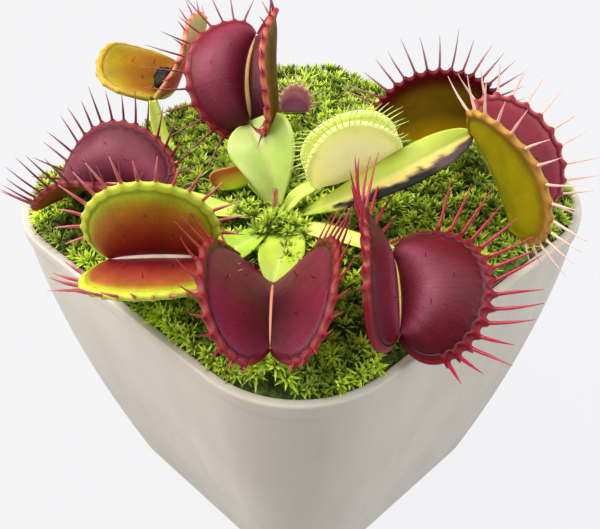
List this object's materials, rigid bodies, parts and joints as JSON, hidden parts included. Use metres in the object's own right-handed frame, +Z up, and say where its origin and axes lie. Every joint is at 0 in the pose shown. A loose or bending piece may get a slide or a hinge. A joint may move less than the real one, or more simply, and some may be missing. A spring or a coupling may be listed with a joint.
{
  "type": "potted venus flytrap",
  "caption": "Venus flytrap in a tapered square plastic pot with rounded corners: a rosette of hinged, bristle-fringed traps on flat winged stalks over a cushion of moss.",
  "frame": {"origin": "middle of the pot's flat underside, on the surface that it stands on", "axes": "+Z up, +X and +Y square to two sides of the pot, and the corner between +X and -Y is shown in front"},
  "size_m": [0.1293, 0.1188, 0.1267],
  "materials": {
    "pot": "satin, slightly warm light grey",
    "growing_mix": "crumbly and matt",
    "moss": "soft and matt",
    "crown": "smooth",
    "husk": "wrinkled with a dull shine",
    "stalk": "smooth with a soft shine",
    "trap_maroon": "fleshy with a soft shine",
    "trap_orange": "fleshy with a soft shine",
    "trap_olive": "fleshy with a soft shine",
    "trap_pale": "fleshy with a soft shine"
  },
  "bodies": {
    "root": {"pot": "pot", "growing_mix": "growing_mix", "moss_cushion": "moss", "crown": "crown", "insect_husk": "husk", "leaf_front_trap": "trap_maroon", "leaf_front_stalk": "stalk", "leaf_front_right_trap": "trap_maroon", "leaf_front_right_stalk": "stalk", "leaf_left_trap": "trap_maroon", "leaf_left_stalk": "stalk", "leaf_far_left_trap": "trap_maroon", "leaf_far_left_stalk": "stalk", "leaf_top_trap": "trap_maroon", "leaf_top_stalk": "stalk", "leaf_back_left_trap": "trap_orange", "leaf_back_left_stalk": "stalk", "leaf_back_right_trap": "trap_olive", "leaf_back_right_stalk": "stalk", "leaf_right_trap": "trap_olive", "leaf_right_stalk": "stalk", "leaf_centre_trap": "trap_pale", "leaf_centre_stalk": "stalk", "leaf_small_back_trap": "trap_maroon", "leaf_small_back_stalk": "stalk", "leaf_bud_trap": "trap_orange", "leaf_bud_stalk": "stalk"}
  },
  "joints": []
}
